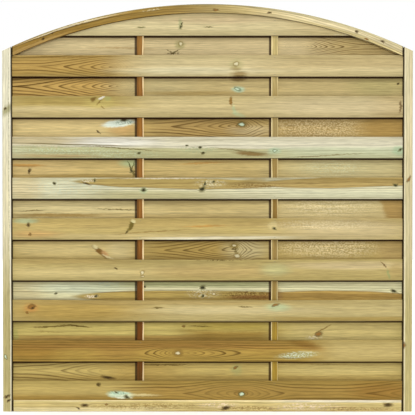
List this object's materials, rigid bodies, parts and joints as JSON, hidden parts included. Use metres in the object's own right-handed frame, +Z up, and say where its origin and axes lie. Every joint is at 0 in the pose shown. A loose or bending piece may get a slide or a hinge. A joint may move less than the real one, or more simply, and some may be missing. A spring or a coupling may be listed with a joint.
{
  "type": "fence panel",
  "caption": "Arched softwood fence panel: a grooved frame filled with horizontal hit-and-miss slats either side of upright battens, fixed between posts as a garden screen.",
  "frame": {"origin": "middle of the panel's bottom edge, half way through its depth", "axes": "+X along the fence, to the right seen from the front; +Y from the front face to the back; +Z up"},
  "size_m": [1.8, 0.045, 1.7898],
  "materials": {
    "frame_timber": "planed, pressure-treated pine, matt",
    "slat_timber": "planed, pressure-treated pine, matt",
    "batten_timber": "sawn, pressure-treated pine, matt",
    "staple_wire": "galvanised, dulled"
  },
  "bodies": {
    "root": {"left_stile": "frame_timber", "right_stile": "frame_timber", "arch_rail": "frame_timber", "bottom_rail": "frame_timber", "left_batten": "batten_timber", "right_batten": "batten_timber", "front_slat_01": "slat_timber", "front_slat_02": "slat_timber", "front_slat_03": "slat_timber", "front_slat_04": "slat_timber", "front_slat_05": "slat_timber", "front_slat_06": "slat_timber", "front_slat_07": "slat_timber", "front_slat_08": "slat_timber", "front_slat_09": "slat_timber", "front_slat_10": "slat_timber", "rear_slat_01": "slat_timber", "rear_slat_02": "slat_timber", "rear_slat_03": "slat_timber", "rear_slat_04": "slat_timber", "rear_slat_05": "slat_timber", "rear_slat_06": "slat_timber", "rear_slat_07": "slat_timber", "rear_slat_08": "slat_timber", "rear_slat_09": "slat_timber", "front_staples": "staple_wire", "rear_staples": "staple_wire", "corner_staples": "staple_wire"}
  },
  "joints": []
}
